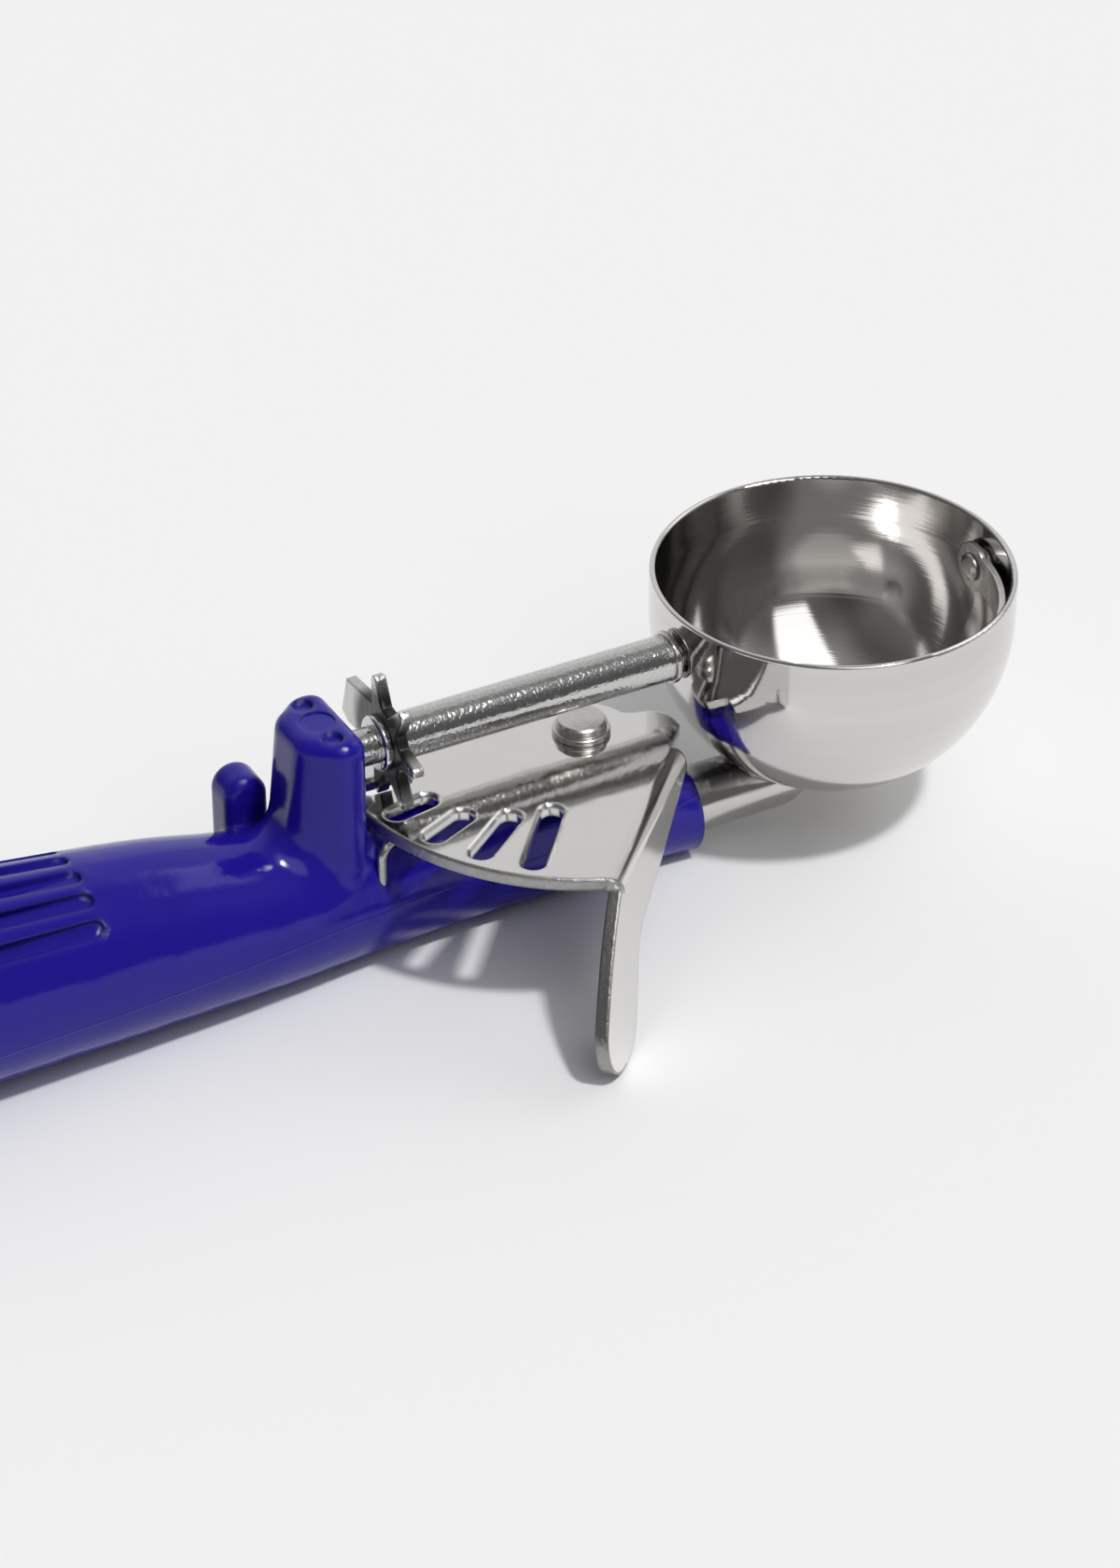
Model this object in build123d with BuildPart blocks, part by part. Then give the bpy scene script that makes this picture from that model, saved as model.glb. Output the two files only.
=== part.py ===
# Portion scoop with a thumb lever: moulded handle, stainless bowl, lever, pinion, shaft and scraper.
# Millimetres. The origin lies on the surface the scoop rests on, straight below the lever's rivet.
# +X runs along the shaft toward the bowl, +Y away from the thumb tab, +Z up.
import math
import os
from build123d import *

os.makedirs("parts", exist_ok=True)

# clearances
RUN = 0.05
FIT = 0.02
AXIAL = 0.10

# shaft axis above the rest surface
SHAFT_Z = 35.4

# bowl
BOWL_X = 44.4
BOWL_R = 28.5
BOWL_WALL = 1.0
BOWL_SKIRT = 7.4
BOWL_FLAT_R = 4.13

# blade shaft
SHAFT_R = 3.69
JOURNAL_R = 2.9
NECK_R = 2.5
STAKE_R = 1.6
STAKE_HEAD_R = 2.4
JOURNAL_RUN = 8.0
FERRULE_R = 4.15
FERRULE_T = 0.9
FERRULE_GAP = 0.5

# scraper blade
BLADE_GAP = 0.6
BLADE_T = 1.0
BLADE_W = 6.0
EYE_R = 4.0
PIVOT_R = 1.5
PIVOT_HEAD_R = 2.6

# pinion: teeth at a seventh of a turn, five of them cut, the rest left as a stop lobe
PINION_INSET = 5.9
PITCH_R = 8.4957
PINION_T = 1.9
PINION_TIP_R = 10.5
PINION_ROOT_R = 6.0
PINION_PER_TURN = 7
PINION_TEETH = 5
TOOTH_TIP_HALF = 0.9
TOOTH_MID_HALF = 1.25
TOOTH_ROOT_HALF = 1.9
TOOTH_MID_R = 8.0
TOOTH_ROUND = 0.6
TOOTH_EDGE = 0.3
LOBE = [(-2.5, 5.4), (-11.6, 4.6), (-13.3, -1.8), (-11.2, -3.0), (-4.0, -2.5)]
COLLAR_R = 4.4
COLLAR_T = 1.3

# lever plate
PLATE_BELOW_SHAFT = 8.9
PLATE_T = 2.0
PLATE_R = 39.0
PLATE_ARC_START = 169.5
PLATE_EDGE = 0.3
PLATE_BOSS_R = 8.2
PLATE_NOSE = [(14.2, -5.4), (13.1, -0.9), (9.6, 0.7)]
SLOT_W = 3.4
SLOT_WEB = 3.8
SLOT_RUNS = [4.8, 5.4, 6.5, 9.9, 13.3]
SLOT_REST = 3.18
SLOT_EDGE = 0.5

# thumb tab, bent down from the plate along a line at 45 degrees to the shaft
BEND_DIST = 16.3
BEND_DIR = -45.0
BEND_ANGLE = 81.3
BEND_SETBACK = 2.0
BEND_LAP = 0.08
BEND_RADIUS = 2.6
BEND_FLAP = 14.0
BEND_NOTCH = 0.3
# flange and tab outlines: distance past the plate's end along the bend line, drop below it
FLANGE_TOP = 6.0
FLANGE_START_DROP = 3.4
FLANGE_DROPS = [(0.0, 11.5), (-10.2, 11.0), (-20.4, 8.2)]
TAB_TOP = [(-12.2, 5.0), (-0.2, 5.0), (-0.2, 1.6)]
TAB_EDGE = [(-0.2, 1.6), (7.6, 8.4), (14.2, 16.2)]
TAB_TOE = [(14.2, 16.2), (15.8, 19.8), (15.2, 23.0)]
TAB_LOW = [(15.2, 23.0), (13.2, 25.2), (9.6, 26.2)]
TAB_HEEL = [(9.6, 26.2), (5.4, 25.8), (2.5, 23.6)]
TAB_ROOT = [(-3.2, 14.6), (-5.9, 12.3), (-10.2, 11.0)]
TAB_INNER_DROP = 10.45

# lever rivet and washers
RIVET_R = 2.5
RIVET_HEAD_R = 3.95
RIVET_HEAD_T = 1.5
RIVET_TAIL_R = 3.3
RIVET_TAIL_T = 0.9
WASHER_R = 4.5
WASHER_T = 0.9
LOWER_WASHER_R = 4.3
LOWER_WASHER_T = 0.6

# shank tube
SHANK_R = 5.25
SHANK_WALL = 1.0
SHANK_Z = 7.5
SHANK_REAR_X = -25.0
SHANK_TIP_BACK = 6.8
SHANK_END_TILT = 42.0

# handle sections: position along X, half width, half height
HANDLE_SECTIONS = [
    (-138.6, 10.5, 10.5),
    (-130.0, 15.0, 15.0),
    (-118.0, 16.4, 16.4),
    (-106.0, 16.2, 16.2),
    (-95.6, 15.6, 15.6),
    (-78.0, 14.5, 14.5),
    (-65.6, 13.4, 13.4),
    (-52.6, 12.0, 12.2),
    (-38.0, 10.2, 11.9),
    (-20.0, 9.0, 11.8),
    (0.0, 8.4, 11.8),
    (9.0, 7.9, 10.2),
    (17.9, 7.5, 7.5),
]
REST_FLAT = 0.2
HANDLE_END_ROUND = 6.0
GROOVE_COUNT = 6
GROOVE_PITCH = 17.6
GROOVE_W = 2.7
GROOVE_DEPTH = 0.75
GROOVE_FRONT_X = -84.1
GROOVE_REAR_X = -123.0

# bearing post
POST_OVER = 6.9
POST_GAP = 1.0
POST_LEN = 9.6
POST_LEAN = 3.0
POST_SIDE = 4.4
POST_REAR_HALF = 4.8
POST_INSET = 1.25
POST_FRONT_INSET = 0.6
POST_NARROW = 0.4
POST_REAR_ROUND = 4.0
POST_SIDE_ROUND = 4.0
POST_FRONT_ROUND = 2.6
POST_EDGE = 2.2
POST_ROOT = 5.0
DIMPLE_Y = 5.0
DIMPLE_R = 1.6
DIMPLE_DEPTH = 0.8
GATE_R = 2.7
GATE_DEPTH = 0.25
DIMPLE_BACK = 4.4

# lug behind the post
LUG_BACK = 13.0
LUG_Y = 10.0
LUG_LEN = 7.0
LUG_WIDE = 6.5
LUG_UNDER = 4.9
LUG_EDGE = 1.4

# return spring
WIRE_R = 0.75
COIL_R = 5.2
COIL_PITCH = 2.04
COIL_TURNS = 2
COIL_DROP = 1.6
LEG_OUT = 0.546
LEG_TURN = 192.56
LEG_FOOT = 14.0
LEG_BEND = 2.2
FREE_LEG_ANGLE = -20.0
SPRING_GAP = 0.3
POCKET_R = 6.6

# values worked out from the sizes above
PLATE_TOP = SHAFT_Z - PLATE_BELOW_SHAFT
PLATE_LOW = PLATE_TOP - PLATE_T
BOWL_DEPTH = math.sqrt(BOWL_R**2 - BOWL_FLAT_R**2)
BOWL_IN = BOWL_R - BOWL_WALL
RIM_Z = SHAFT_Z + BOWL_SKIRT
WALL_REAR = BOWL_X - BOWL_R
SHAFT_FRONT_X = WALL_REAR - FERRULE_GAP
BLADE_OUT = BOWL_IN - BLADE_GAP
BLADE_IN = BLADE_OUT - BLADE_T
EYE_OUT = BLADE_OUT - 0.2
EYE_IN = EYE_OUT - BLADE_T
BOSS_TOP = PLATE_LOW - AXIAL - LOWER_WASHER_T - FIT
HANDLE_FRONT_X = HANDLE_SECTIONS[-1][0]
SHANK_TIP_X = BOWL_X - SHANK_TIP_BACK
PINION_X = PINION_INSET - PLATE_R
TOOTH_PITCH = 360 / PINION_PER_TURN
SLOT_PITCH = TOOTH_PITCH * PITCH_R / (PLATE_R - PINION_INSET)
SLOT_OUT_R = PLATE_R - SLOT_WEB
BEND_REACH = BEND_DIST - BEND_SETBACK
PLATE_ARC_END = BEND_DIR + 270 + math.degrees(math.asin(BEND_REACH / PLATE_R))
BEND_END = math.sqrt(PLATE_R**2 - BEND_REACH**2) - BEND_LAP
POST_TOP = SHAFT_Z + POST_OVER
POST_FRONT_X = -PLATE_R - POST_GAP
POST_REAR_X = POST_FRONT_X - POST_LEN
POST_SIDE_X = POST_FRONT_X - POST_SIDE
SHAFT_REAR_X = POST_FRONT_X - JOURNAL_RUN
DIMPLE_X = POST_FRONT_X - DIMPLE_BACK
LUG_X = POST_FRONT_X - LUG_BACK
LUG_TOP = SHAFT_Z - LUG_UNDER
COIL_TOP = PLATE_LOW - COIL_DROP
LEG_X = (PLATE_R + LEG_OUT) * math.cos(math.radians(LEG_TURN))
LEG_Y = (PLATE_R + LEG_OUT) * math.sin(math.radians(LEG_TURN))
PINION_FRONT = PINION_X + PINION_T / 2
PINION_REAR = PINION_X - PINION_T / 2


def section_size(x):
    """Half width and half height of the handle at x, straight between the listed sections."""
    for (x0, a0, b0), (x1, a1, b1) in zip(HANDLE_SECTIONS, HANDLE_SECTIONS[1:]):
        if x0 <= x <= x1:
            k = (x - x0) / (x1 - x0)
            return a0 + k * (a1 - a0), b0 + k * (b1 - b0)
    return HANDLE_SECTIONS[-1][1:]


POST_HALF = section_size(POST_FRONT_X)[0] - POST_INSET
POST_FRONT_HALF = POST_HALF - POST_FRONT_INSET


def groove_spot(x, turn):
    """Point on the floor of a grip groove at x."""
    half_high = section_size(x)[1]
    reach = half_high - GROOVE_DEPTH
    return Vector(x, -reach * math.cos(turn), half_high - REST_FLAT + reach * math.sin(turn))


def across(x, z=SHAFT_Z, y=0.0):
    """Sketch plane square to the shaft: its own X is +Y of the part, its own Y is +Z."""
    return Plane(origin=(x, y, z), x_dir=(0, 1, 0), z_dir=(1, 0, 0))


def lengthwise(y=0.0):
    """Sketch plane along the shaft: its own X is +X of the part, its own Y is +Z, normal to -Y."""
    return Plane(origin=(0, y, 0), x_dir=(1, 0, 0), z_dir=(0, -1, 0))


# Fixed leg of the spring: from its hole in the handle, over a bend, tangent to the coil.
leg_span = math.hypot(LEG_X, LEG_Y)
leg_bearing = math.degrees(math.atan2(LEG_Y, LEG_X)) % 360
coil_start = leg_bearing - math.degrees(math.acos(COIL_R / leg_span))
coil_sweep = coil_start - FREE_LEG_ANGLE + 360 * COIL_TURNS
coil_low = COIL_TOP - COIL_PITCH * coil_sweep / 360
leg_way = (math.sin(math.radians(coil_start)), -math.cos(math.radians(coil_start)))

# Lug of the handle: an upright plate, rounded over the top.
with BuildPart() as lug_piece:
    with BuildSketch(lengthwise(LUG_Y + LUG_WIDE / 2)):
        with Locations((LUG_X, LUG_TOP - LUG_LEN / 2)):
            Circle(LUG_LEN / 2)
        with Locations((LUG_X, (LUG_TOP - LUG_LEN / 2 + SHANK_Z + SHANK_R) / 2)):
            Rectangle(LUG_LEN, LUG_TOP - LUG_LEN / 2 - SHANK_Z - SHANK_R)
    extrude(amount=LUG_WIDE)
    fillet(lug_piece.edges().filter_by(GeomType.CIRCLE), LUG_EDGE)

# Handle: one moulding. The grip and neck are lofted through the sections.
with BuildPart() as handle:
    for x, half_wide, half_high in HANDLE_SECTIONS:
        with BuildSketch(across(x, half_high - REST_FLAT)):
            Ellipse(half_wide, half_high)
    loft()
    fillet(handle.faces().sort_by(Axis.X)[0].edges(), HANDLE_END_ROUND)
    # bearing post, widest in the middle, leaning back toward its foot and blended into the grip
    for level, lean, narrow in ((SHANK_Z + SHANK_R, POST_LEAN, 0), (POST_TOP, 0, POST_NARROW)):
        with BuildSketch(Plane.XY.offset(level)):
            with BuildLine():
                Polyline(
                    (POST_REAR_X - lean, narrow - POST_REAR_HALF),
                    (POST_SIDE_X, narrow - POST_HALF),
                    (POST_FRONT_X, narrow - POST_FRONT_HALF),
                    (POST_FRONT_X, POST_FRONT_HALF - narrow),
                    (POST_SIDE_X, POST_HALF - narrow),
                    (POST_REAR_X - lean, POST_REAR_HALF - narrow),
                    close=True,
                )
            make_face()
            fillet(vertices().group_by(Axis.X)[0], POST_REAR_ROUND)
            fillet(vertices().filter_by(lambda v: abs(v.X - POST_SIDE_X) < 0.01), POST_SIDE_ROUND)
            fillet(vertices().group_by(Axis.X)[-1], POST_FRONT_ROUND)
    loft()
    fillet(handle.faces().filter_by_position(Axis.Z, POST_TOP - 0.01, POST_TOP + 0.01).edges(), POST_EDGE)
    post_foot = handle.edges().filter_by(
        lambda e: POST_REAR_X - POST_LEAN - 1 < (e @ 0.5).X < POST_FRONT_X + 1
        and SHANK_Z + SHANK_R < (e @ 0.5).Z < SHAFT_Z - PLATE_BELOW_SHAFT
        and abs((e @ 0.5).Y) < POST_HALF + 1
        and abs((e @ 0).Z - (e @ 1).Z) < POST_HALF / 2
    )
    fillet(post_foot, POST_ROOT)
    # lug on the far side of the post
    add(lug_piece.part)
    # grip grooves, rounded at both ends, spread evenly over the top
    for n in range(GROOVE_COUNT):
        turn = math.radians(90 + GROOVE_PITCH * (n - (GROOVE_COUNT - 1) / 2))
        front, rear = [groove_spot(x, turn) for x in (GROOVE_FRONT_X, GROOVE_REAR_X)]
        along = front - rear
        outward = along.cross(Vector(0, math.sin(turn), math.cos(turn)))
        with BuildSketch(Plane(origin=(front + rear) / 2, x_dir=along, z_dir=outward)):
            SlotOverall(along.length, GROOVE_W)
        extrude(amount=4, mode=Mode.SUBTRACT)
    # ejector dimples and gate mark on the post
    with BuildSketch(Plane.XY.offset(POST_TOP)):
        with Locations((DIMPLE_X, -DIMPLE_Y), (DIMPLE_X, DIMPLE_Y)):
            Circle(DIMPLE_R)
    extrude(amount=-DIMPLE_DEPTH, mode=Mode.SUBTRACT)
    with BuildSketch(Plane.XY.offset(POST_TOP)):
        with Locations((DIMPLE_X, 0)):
            Circle(GATE_R)
    extrude(amount=-GATE_DEPTH, mode=Mode.SUBTRACT)
    # journal bore for the shaft
    with BuildSketch(across(SHAFT_REAR_X - 0.5)):
        Circle(JOURNAL_R + RUN)
    extrude(amount=POST_FRONT_X - SHAFT_REAR_X + 5, mode=Mode.SUBTRACT)
    # bore for the shank tube
    with BuildSketch(across(SHANK_REAR_X - FIT, SHANK_Z)):
        Circle(SHANK_R + FIT)
    extrude(amount=HANDLE_FRONT_X - SHANK_REAR_X + 5, mode=Mode.SUBTRACT)
    # room for the swinging plate, a boss under its washer, and the ring-shaped spring pocket
    with Locations((0, 0, BOSS_TOP)):
        Cylinder(PLATE_R + POST_GAP, SHAFT_Z - JOURNAL_R - BOSS_TOP - POST_GAP,
                 align=(Align.CENTER, Align.CENTER, Align.MIN), mode=Mode.SUBTRACT)
    with Locations((0, 0, SHANK_Z + SHANK_R)):
        Cylinder(COIL_R - WIRE_R - SPRING_GAP, BOSS_TOP - SHANK_Z - SHANK_R,
                 align=(Align.CENTER, Align.CENTER, Align.MIN))
    with BuildSketch(Plane.XY.offset(coil_low - WIRE_R - SPRING_GAP)):
        Circle(POCKET_R)
        Circle(COIL_R - WIRE_R - SPRING_GAP, mode=Mode.SUBTRACT)
    extrude(amount=20, mode=Mode.SUBTRACT)
    # window in the near wall for the swinging free leg
    with BuildSketch(Plane.XY.offset(coil_low - WIRE_R - SPRING_GAP)):
        with Locations((-4, -POCKET_R - 2)):
            Rectangle(22, 9.6)
    extrude(amount=20, mode=Mode.SUBTRACT)
    # channel and hole for the fixed leg
    with BuildSketch(Plane.XY.offset(COIL_TOP - WIRE_R - SPRING_GAP)):
        with BuildLine():
            Polyline((LEG_X, LEG_Y), (COIL_R * math.cos(math.radians(coil_start)),
                                      COIL_R * math.sin(math.radians(coil_start))))
        trace(line_width=2 * (WIRE_R + SPRING_GAP))
        with Locations((LEG_X, LEG_Y)):
            Circle(WIRE_R + SPRING_GAP)
    extrude(amount=4, mode=Mode.SUBTRACT)
    with Locations((LEG_X, LEG_Y, LEG_FOOT - SPRING_GAP)):
        Cylinder(WIRE_R + FIT, 12, align=(Align.CENTER, Align.CENTER, Align.MIN), mode=Mode.SUBTRACT)
    # rivet hole and the room for its peened tail
    with Locations((0, 0, SHANK_Z)):
        Cylinder(RIVET_R + FIT, 40, align=(Align.CENTER, Align.CENTER, Align.MIN), mode=Mode.SUBTRACT)
    with Locations((0, 0, SHANK_Z - SHANK_R - FIT - RIVET_TAIL_T - FIT)):
        Cylinder(RIVET_TAIL_R + FIT, 4, align=(Align.CENTER, Align.CENTER, Align.MIN), mode=Mode.SUBTRACT)
    # narrow flat along the underside
    with BuildSketch(Plane.XY):
        with Locations((HANDLE_SECTIONS[0][0], 0)):
            Rectangle(HANDLE_FRONT_X - HANDLE_SECTIONS[0][0], 2 * HANDLE_FRONT_X, align=(Align.MIN, Align.CENTER))
    extrude(amount=-SHANK_R, mode=Mode.SUBTRACT)
handle.part.label = "handle"
export_step(handle.part, "parts/handle.step")

# Shank tube: drawn tube with a closed, sloping front end that is saddled to the bowl.
slope = math.radians(SHANK_END_TILT)
end_dir = (math.cos(slope), 0, -math.sin(slope))
end_spot = (SHANK_TIP_X, 0, SHAFT_Z - BOWL_DEPTH)
inner_spot = (end_spot[0] - SHANK_WALL * end_dir[0], 0, end_spot[2] - SHANK_WALL * end_dir[2])
with BuildPart() as shank_hollow:
    with BuildSketch(across(SHANK_REAR_X - 1, SHANK_Z)):
        Circle(SHANK_R - SHANK_WALL)
    extrude(amount=SHANK_TIP_X + 10 - SHANK_REAR_X)
    split(bisect_by=Plane(origin=inner_spot, z_dir=end_dir), keep=Keep.BOTTOM)
    with Locations((BOWL_X, 0, SHAFT_Z)):
        Sphere(BOWL_R + FIT + SHANK_WALL, mode=Mode.SUBTRACT)
with BuildPart() as shank_tube:
    with BuildSketch(across(SHANK_REAR_X, SHANK_Z)):
        Circle(SHANK_R)
    extrude(amount=SHANK_TIP_X + 10 - SHANK_REAR_X)
    split(bisect_by=Plane(origin=end_spot, z_dir=end_dir), keep=Keep.BOTTOM)
    with Locations((BOWL_X, 0, SHAFT_Z)):
        Sphere(BOWL_R + FIT, mode=Mode.SUBTRACT)
    add(shank_hollow.part, mode=Mode.SUBTRACT)
    with Locations((0, 0, SHANK_Z)):
        Cylinder(RIVET_R + FIT, 4 * SHANK_R, mode=Mode.SUBTRACT)
shank_tube.part.label = "shank_tube"
export_step(shank_tube.part, "parts/shank_tube.step")

# Bowl: spun half sphere with a short straight skirt, rounded rim and a small flat at the bottom.
inner_depth = BOWL_DEPTH - BOWL_WALL
with BuildPart() as bowl:
    with BuildSketch(Plane(origin=(BOWL_X, 0, SHAFT_Z), x_dir=(1, 0, 0), z_dir=(0, -1, 0))):
        with BuildLine():
            out_foot = (math.sqrt(BOWL_R**2 - BOWL_DEPTH**2), -BOWL_DEPTH)
            in_foot = (math.sqrt(BOWL_IN**2 - inner_depth**2), -inner_depth)
            Polyline((0, -inner_depth), (0, -BOWL_DEPTH), out_foot)
            RadiusArc(out_foot, (BOWL_R, 0), -BOWL_R)
            Polyline((BOWL_R, 0), (BOWL_R, BOWL_SKIRT), (BOWL_IN, BOWL_SKIRT), (BOWL_IN, 0))
            RadiusArc((BOWL_IN, 0), in_foot, BOWL_IN)
            Line(in_foot, (0, -inner_depth))
        make_face()
    revolve(axis=Axis((BOWL_X, 0, 0), (0, 0, 1)))
    fillet(bowl.edges().filter_by_position(Axis.Z, RIM_Z - 0.01, RIM_Z + 0.01), 0.45 * BOWL_WALL)
    with BuildSketch(across(WALL_REAR - 3)):
        Circle(NECK_R + RUN)
    extrude(amount=10, mode=Mode.SUBTRACT)
    with BuildSketch(across(BOWL_X + BOWL_IN - 5)):
        Circle(PIVOT_R + FIT)
    extrude(amount=10, mode=Mode.SUBTRACT)
bowl.part.label = "bowl"
export_step(bowl.part, "parts/bowl.step")

# Blade shaft: turned bar, journal at the rear, neck through the bowl wall, end staked over the eye.
eye_rear = BOWL_X - EYE_OUT
eye_front = BOWL_X - EYE_IN
with BuildPart() as blade_shaft:
    with BuildSketch(lengthwise()):
        with BuildLine():
            Polyline(
                (SHAFT_REAR_X, SHAFT_Z),
                (SHAFT_REAR_X, SHAFT_Z + JOURNAL_R),
                (PINION_FRONT, SHAFT_Z + JOURNAL_R),
                (PINION_FRONT, SHAFT_Z + SHAFT_R),
                (SHAFT_FRONT_X, SHAFT_Z + SHAFT_R),
                (SHAFT_FRONT_X, SHAFT_Z + NECK_R),
                (eye_rear, SHAFT_Z + NECK_R),
                (eye_rear, SHAFT_Z + STAKE_R),
                (eye_front + FIT, SHAFT_Z + STAKE_R),
                (eye_front + FIT, SHAFT_Z + STAKE_HEAD_R),
                (eye_front + 0.8, SHAFT_Z + STAKE_R),
                (eye_front + 1.0, SHAFT_Z),
                close=True,
            )
        make_face()
    revolve(axis=Axis((0, 0, SHAFT_Z), (1, 0, 0)))
    chamfer(blade_shaft.faces().sort_by(Axis.X)[0].edges(), 0.5)
blade_shaft.part.label = "blade_shaft"
export_step(blade_shaft.part, "parts/blade_shaft.step")

# Pinion: stamped plate with five teeth and a solid lobe that stops the travel.
first_tooth = 180 + SLOT_REST * TOOTH_PITCH / SLOT_PITCH
with BuildPart() as pinion:
    with BuildSketch(Plane(origin=(PINION_FRONT, 0, SHAFT_Z), x_dir=(0, -1, 0), z_dir=(-1, 0, 0))):
        Circle(PINION_ROOT_R)
        for n in range(PINION_TEETH):
            with Locations(Rotation(0, 0, -(first_tooth - n * TOOTH_PITCH))):
                Polygon(
                    (-TOOTH_ROOT_HALF, 0.8 * PINION_ROOT_R),
                    (TOOTH_ROOT_HALF, 0.8 * PINION_ROOT_R),
                    (TOOTH_MID_HALF, TOOTH_MID_R),
                    (TOOTH_TIP_HALF, PINION_TIP_R - TOOTH_ROUND),
                    (0.55 * TOOTH_TIP_HALF, PINION_TIP_R),
                    (-0.55 * TOOTH_TIP_HALF, PINION_TIP_R),
                    (-TOOTH_TIP_HALF, PINION_TIP_R - TOOTH_ROUND),
                    (-TOOTH_MID_HALF, TOOTH_MID_R),
                    align=None,
                )
        Polygon(*LOBE, align=None)
        Circle(JOURNAL_R + FIT, mode=Mode.SUBTRACT)
    extrude(amount=PINION_T)
    outline = pinion.edges().filter_by(
        lambda e: abs((e @ 0).X - (e @ 1).X) < 0.01
        and math.hypot((e @ 0).Y, (e @ 0).Z - SHAFT_Z) > (JOURNAL_R + PINION_ROOT_R) / 2
    )
    fillet(outline, TOOTH_EDGE)
pinion.part.label = "pinion"
export_step(pinion.part, "parts/pinion.step")

# Collar: ring staked on the journal behind the pinion.
with BuildPart() as pinion_collar:
    with BuildSketch(across(PINION_REAR - FIT)):
        Circle(COLLAR_R)
        Circle(JOURNAL_R + FIT, mode=Mode.SUBTRACT)
    extrude(amount=-COLLAR_T)
    fillet(pinion_collar.faces().sort_by(Axis.X)[0].edges().sort_by(SortBy.LENGTH)[-1], 0.5)
pinion_collar.part.label = "pinion_collar"
export_step(pinion_collar.part, "parts/pinion_collar.step")

# Ferrule: thin ring at the bowl end of the shaft.
with BuildPart() as shaft_ferrule:
    with BuildSketch(across(SHAFT_FRONT_X - FERRULE_T)):
        Circle(FERRULE_R)
        Circle(SHAFT_R + FIT, mode=Mode.SUBTRACT)
    extrude(amount=FERRULE_T)
    fillet(shaft_ferrule.edges().group_by(SortBy.LENGTH)[-1], 0.2)
shaft_ferrule.part.label = "shaft_ferrule"
export_step(shaft_ferrule.part, "parts/shaft_ferrule.step")

# Scraper blade: half ring of strip that follows the inside of the bowl, an eye at each end.
with BuildPart() as scraper_blade:
    with BuildSketch(Plane(origin=(BOWL_X, 0, SHAFT_Z), x_dir=(1, 0, 0), z_dir=(0, -1, 0))):
        with BuildLine():
            half = BLADE_W / 2
            edge_out = -math.sqrt(BLADE_OUT**2 - half**2)
            edge_in = -math.sqrt(BLADE_IN**2 - half**2)
            ThreePointArc((edge_out, half), (-BLADE_OUT, 0), (edge_out, -half))
            Line((edge_out, -half), (edge_in, -half))
            ThreePointArc((edge_in, -half), (-BLADE_IN, 0), (edge_in, half))
            Line((edge_in, half), (edge_out, half))
        make_face()
    revolve(axis=Axis((BOWL_X, 0, 0), (0, 0, 1)), revolution_arc=180)
    for x in (BOWL_X - EYE_OUT, BOWL_X + EYE_IN):
        with BuildSketch(across(x)):
            Circle(EYE_R)
        extrude(amount=BLADE_T)
    with BuildSketch(across(BOWL_X - BOWL_R)):
        Circle(STAKE_R + FIT)
    extrude(amount=BOWL_R / 2, mode=Mode.SUBTRACT)
    # room in the strip for the shaft's neck and for the washer
    with BuildSketch(across(BOWL_X - EYE_OUT)):
        Circle(EYE_R)
    extrude(amount=-2, mode=Mode.SUBTRACT)
    with BuildSketch(across(BOWL_X + EYE_OUT)):
        Circle(EYE_R)
    extrude(amount=2, mode=Mode.SUBTRACT)
    with BuildSketch(across(BOWL_X + BOWL_R)):
        Circle(PIVOT_R + RUN)
    extrude(amount=-BOWL_R / 2, mode=Mode.SUBTRACT)
scraper_blade.part.label = "scraper_blade"
export_step(scraper_blade.part, "parts/scraper_blade.step")

# Front pivot rivet: headed on both sides, carries the blade's front eye.
wall_front = BOWL_X + BOWL_R
washer_front = BOWL_X + math.sqrt(BOWL_IN**2 - PIVOT_HEAD_R**2) - FIT
with BuildPart() as front_pivot_rivet:
    with BuildSketch(lengthwise()):
        with BuildLine():
            head_in = BOWL_X + EYE_IN - AXIAL
            Polyline(
                (head_in - 1.0, SHAFT_Z),
                (head_in - 0.8, SHAFT_Z + 1.5),
                (head_in - 0.4, SHAFT_Z + 2.2),
                (head_in, SHAFT_Z + 2.3),
                (head_in, SHAFT_Z + PIVOT_R),
                (wall_front + FIT, SHAFT_Z + PIVOT_R),
                (wall_front + FIT, SHAFT_Z + PIVOT_HEAD_R),
                (wall_front + 0.6, SHAFT_Z + 2.3),
                (wall_front + 1.1, SHAFT_Z + 1.3),
                (wall_front + 1.2, SHAFT_Z),
                close=True,
            )
        make_face()
    revolve(axis=Axis((0, 0, SHAFT_Z), (1, 0, 0)))
front_pivot_rivet.part.label = "front_pivot_rivet"
export_step(front_pivot_rivet.part, "parts/front_pivot_rivet.step")

# Front pivot washer: keeps the eye off the wall.
with BuildPart() as front_pivot_washer:
    with BuildSketch(across(BOWL_X + EYE_OUT + AXIAL)):
        Circle(PIVOT_HEAD_R)
        Circle(PIVOT_R + FIT, mode=Mode.SUBTRACT)
    extrude(amount=washer_front - BOWL_X - EYE_OUT - AXIAL)
front_pivot_washer.part.label = "front_pivot_washer"
export_step(front_pivot_washer.part, "parts/front_pivot_washer.step")

# Lever: plate that turns on the rivet, with radial slots for the pinion and a bent-down thumb tab.
out_dir = (math.cos(math.radians(BEND_DIR)), math.sin(math.radians(BEND_DIR)))
run_dir = (out_dir[1], -out_dir[0])
tilt = math.radians(BEND_ANGLE)
flange_plane = Plane(
    origin=(BEND_DIST * out_dir[0], BEND_DIST * out_dir[1], PLATE_TOP),
    x_dir=(run_dir[0], run_dir[1], 0),
    z_dir=(math.sin(tilt) * out_dir[0], math.sin(tilt) * out_dir[1], math.cos(tilt)),
)


def on_arc(radius, degrees):
    """Point of the plate at a radius and angle about the rivet."""
    return (radius * math.cos(math.radians(degrees)), radius * math.sin(math.radians(degrees)))


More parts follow.
